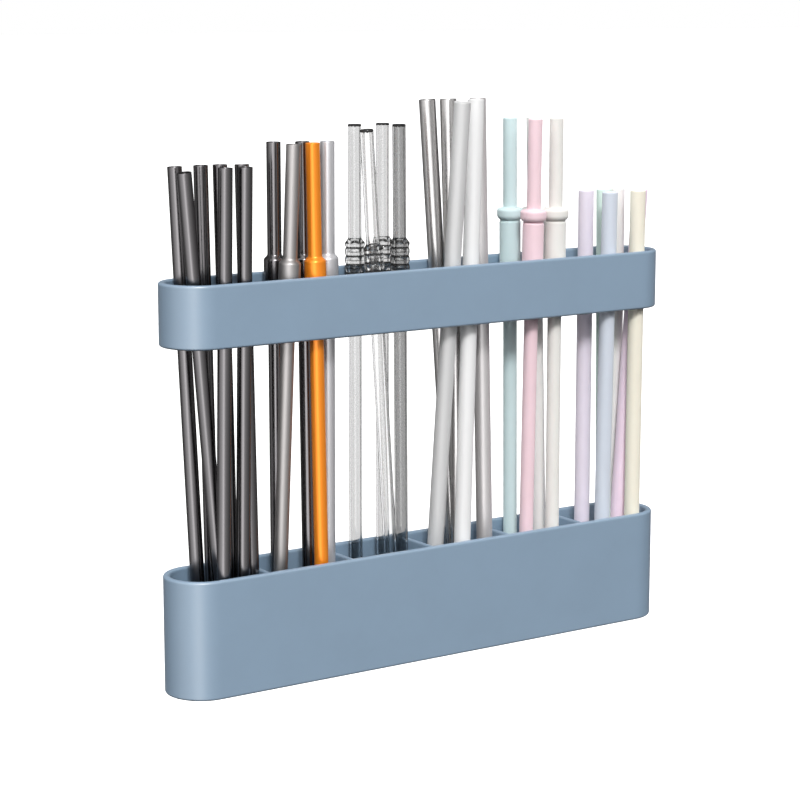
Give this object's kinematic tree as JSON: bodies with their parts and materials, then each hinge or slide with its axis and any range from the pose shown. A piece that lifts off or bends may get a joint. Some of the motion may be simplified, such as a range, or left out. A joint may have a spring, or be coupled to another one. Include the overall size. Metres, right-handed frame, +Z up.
{
  "type": "straw holder",
  "caption": "Wall-held drinking-straw holder: an oval trough with pockets below an open oval ring, filled with slim upright straws that lift out.",
  "frame": {"origin": "middle of the trough's wall pad, on the wall plane", "axes": "+X along the holder to the right seen from the front, +Y out of the back towards the wall, +Z up"},
  "size_m": [0.254, 0.0354, 0.2423],
  "materials": {
    "shell": "smooth satin moulding",
    "wall_pad": "soft foam with a film face",
    "black_metal": "polished black coating",
    "graphite_metal": "polished",
    "orange_metal": "glossy",
    "silver_metal": "polished",
    "clear_plastic": "clear and glossy",
    "smoke_plastic": "smoked and glossy",
    "dark_steel": "fine lengthways brushing",
    "bright_steel": "fine lengthways brushing",
    "silicone_teal": "matte silicone",
    "silicone_pink": "matte silicone",
    "silicone_white": "matte silicone",
    "silicone_ivory": "matte silicone",
    "silicone_lavender": "matte silicone",
    "silicone_mint": "matte silicone",
    "silicone_blue": "matte silicone",
    "silicone_cream": "matte silicone",
    "silicone_magenta": "matte silicone"
  },
  "bodies": {
    "holder": {"trough": "shell", "upper_ring": "shell", "trough_wall_pad": "wall_pad", "ring_wall_pad": "wall_pad"},
    "black_straw_1": {"black_straw_1": "black_metal"},
    "black_straw_2": {"black_straw_2": "black_metal"},
    "black_straw_3": {"black_straw_3": "black_metal"},
    "black_straw_4": {"black_straw_4": "black_metal"},
    "black_straw_5": {"black_straw_5": "black_metal"},
    "black_straw_6": {"black_straw_6": "black_metal"},
    "black_straw_7": {"black_straw_7": "black_metal"},
    "sleeved_straw_1": {"sleeved_straw_1": "black_metal"},
    "sleeved_straw_2": {"sleeved_straw_2": "graphite_metal"},
    "sleeved_straw_3": {"sleeved_straw_3": "black_metal"},
    "sleeved_straw_4": {"sleeved_straw_4": "orange_metal"},
    "sleeved_straw_5": {"sleeved_straw_5": "silver_metal"},
    "clear_straw_1": {"clear_straw_1": "clear_plastic"},
    "clear_straw_2": {"clear_straw_2": "clear_plastic"},
    "clear_straw_3": {"clear_straw_3": "clear_plastic"},
    "clear_straw_4": {"clear_straw_4": "smoke_plastic"},
    "steel_straw_1": {"steel_straw_1": "dark_steel"},
    "steel_straw_2": {"steel_straw_2": "dark_steel"},
    "steel_straw_3": {"steel_straw_3": "bright_steel"},
    "steel_straw_4": {"steel_straw_4": "bright_steel"},
    "steel_straw_5": {"steel_straw_5": "bright_steel"},
    "tipped_straw_1": {"tipped_straw_1": "silicone_teal"},
    "tipped_straw_2": {"tipped_straw_2": "silicone_pink"},
    "tipped_straw_3": {"tipped_straw_3": "silicone_white"},
    "tipped_straw_4": {"tipped_straw_4": "silicone_ivory"},
    "soft_straw_1": {"soft_straw_1": "silicone_lavender"},
    "soft_straw_2": {"soft_straw_2": "silicone_mint"},
    "soft_straw_3": {"soft_straw_3": "silicone_blue"},
    "soft_straw_4": {"soft_straw_4": "silicone_white"},
    "soft_straw_5": {"soft_straw_5": "silicone_cream"},
    "soft_straw_6": {"soft_straw_6": "silicone_magenta"}
  },
  "joints": [
    {"name": "black_straw_1_lift", "type": "slide", "parent": "holder", "child": "black_straw_1", "axis": [-0.0339, 0.019, 0.9992], "range_m": [0, 0.18]},
    {"name": "black_straw_2_lift", "type": "slide", "parent": "holder", "child": "black_straw_2", "axis": [-0.1073, -0.0505, 0.9929], "range_m": [0, 0.18]},
    {"name": "black_straw_3_lift", "type": "slide", "parent": "holder", "child": "black_straw_3", "axis": [-0.0169, -0.0032, 0.9999], "range_m": [0, 0.18]},
    {"name": "black_straw_4_lift", "type": "slide", "parent": "holder", "child": "black_straw_4", "axis": [-0.0127, 0.0064, 0.9999], "range_m": [0, 0.18]},
    {"name": "black_straw_5_lift", "type": "slide", "parent": "holder", "child": "black_straw_5", "axis": [0.0191, 0, 0.9998], "range_m": [0, 0.18]},
    {"name": "black_straw_6_lift", "type": "slide", "parent": "holder", "child": "black_straw_6", "axis": [0.019, 0.0602, 0.998], "range_m": [0, 0.18]},
    {"name": "black_straw_7_lift", "type": "slide", "parent": "holder", "child": "black_straw_7", "axis": [0.0085, -0.0191, 0.9998], "range_m": [0, 0.18]},
    {"name": "sleeved_straw_1_lift", "type": "slide", "parent": "holder", "child": "sleeved_straw_1", "axis": [-0.0064, -0.0086, 0.9999], "range_m": [0, 0.18]},
    {"name": "sleeved_straw_2_lift", "type": "slide", "parent": "holder", "child": "sleeved_straw_2", "axis": [0.0169, -0.0449, 0.9988], "range_m": [0, 0.18]},
    {"name": "sleeved_straw_3_lift", "type": "slide", "parent": "holder", "child": "sleeved_straw_3", "axis": [-0.0148, -0.0062, 0.9999], "range_m": [0, 0.18]},
    {"name": "sleeved_straw_4_lift", "type": "slide", "parent": "holder", "child": "sleeved_straw_4", "axis": [-0.0169, 0.0006, 0.9999], "range_m": [0, 0.18]},
    {"name": "sleeved_straw_5_lift", "type": "slide", "parent": "holder", "child": "sleeved_straw_5", "axis": [-0.0106, -0.0212, 0.9997], "range_m": [0, 0.18]},
    {"name": "clear_straw_1_lift", "type": "slide", "parent": "holder", "child": "clear_straw_1", "axis": [-0.0061, -0.0091, 0.9999], "range_m": [0, 0.18]},
    {"name": "clear_straw_2_lift", "type": "slide", "parent": "holder", "child": "clear_straw_2", "axis": [-0.1012, -0.0557, 0.9933], "range_m": [0, 0.18]},
    {"name": "clear_straw_3_lift", "type": "slide", "parent": "holder", "child": "clear_straw_3", "axis": [0.0082, 0.0106, 0.9999], "range_m": [0, 0.18]},
    {"name": "clear_straw_4_lift", "type": "slide", "parent": "holder", "child": "clear_straw_4", "axis": [-0.0265, -0.0285, 0.9992], "range_m": [0, 0.18]},
    {"name": "steel_straw_1_lift", "type": "slide", "parent": "holder", "child": "steel_straw_1", "axis": [-0.0649, 0.0119, 0.9978], "range_m": [0, 0.18]},
    {"name": "steel_straw_2_lift", "type": "slide", "parent": "holder", "child": "steel_straw_2", "axis": [-0.0125, 0.0328, 0.9994], "range_m": [0, 0.18]},
    {"name": "steel_straw_3_lift", "type": "slide", "parent": "holder", "child": "steel_straw_3", "axis": [0.01, -0.0833, 0.9965], "range_m": [0, 0.18]},
    {"name": "steel_straw_4_lift", "type": "slide", "parent": "holder", "child": "steel_straw_4", "axis": [0.0425, 0.0149, 0.999], "range_m": [0, 0.18]},
    {"name": "steel_straw_5_lift", "type": "slide", "parent": "holder", "child": "steel_straw_5", "axis": [-0.02, 0.009, 0.9998], "range_m": [0, 0.18]},
    {"name": "tipped_straw_1_lift", "type": "slide", "parent": "holder", "child": "tipped_straw_1", "axis": [-0.0153, -0.0069, 0.9999], "range_m": [0, 0.18]},
    {"name": "tipped_straw_2_lift", "type": "slide", "parent": "holder", "child": "tipped_straw_2", "axis": [0.0065, -0.0135, 0.9999], "range_m": [0, 0.18]},
    {"name": "tipped_straw_3_lift", "type": "slide", "parent": "holder", "child": "tipped_straw_3", "axis": [-0.0153, 0.0188, 0.9997], "range_m": [0, 0.18]},
    {"name": "tipped_straw_4_lift", "type": "slide", "parent": "holder", "child": "tipped_straw_4", "axis": [0.0022, 0.0027, 1], "range_m": [0, 0.18]},
    {"name": "soft_straw_1_lift", "type": "slide", "parent": "holder", "child": "soft_straw_1", "axis": [0.0098, 0.0121, 0.9999], "range_m": [0, 0.18]},
    {"name": "soft_straw_2_lift", "type": "slide", "parent": "holder", "child": "soft_straw_2", "axis": [0.0098, 0.0302, 0.9995], "range_m": [0, 0.18]},
    {"name": "soft_straw_3_lift", "type": "slide", "parent": "holder", "child": "soft_straw_3", "axis": [0, -0.0151, 0.9999], "range_m": [0, 0.18]},
    {"name": "soft_straw_4_lift", "type": "slide", "parent": "holder", "child": "soft_straw_4", "axis": [-0.0073, -0.006, 1], "range_m": [0, 0.18]},
    {"name": "soft_straw_5_lift", "type": "slide", "parent": "holder", "child": "soft_straw_5", "axis": [-0.0049, -0.009, 0.9999], "range_m": [0, 0.18]},
    {"name": "soft_straw_6_lift", "type": "slide", "parent": "holder", "child": "soft_straw_6", "axis": [0.0438, -0.0271, 0.9987], "range_m": [0, 0.18]}
  ]
}
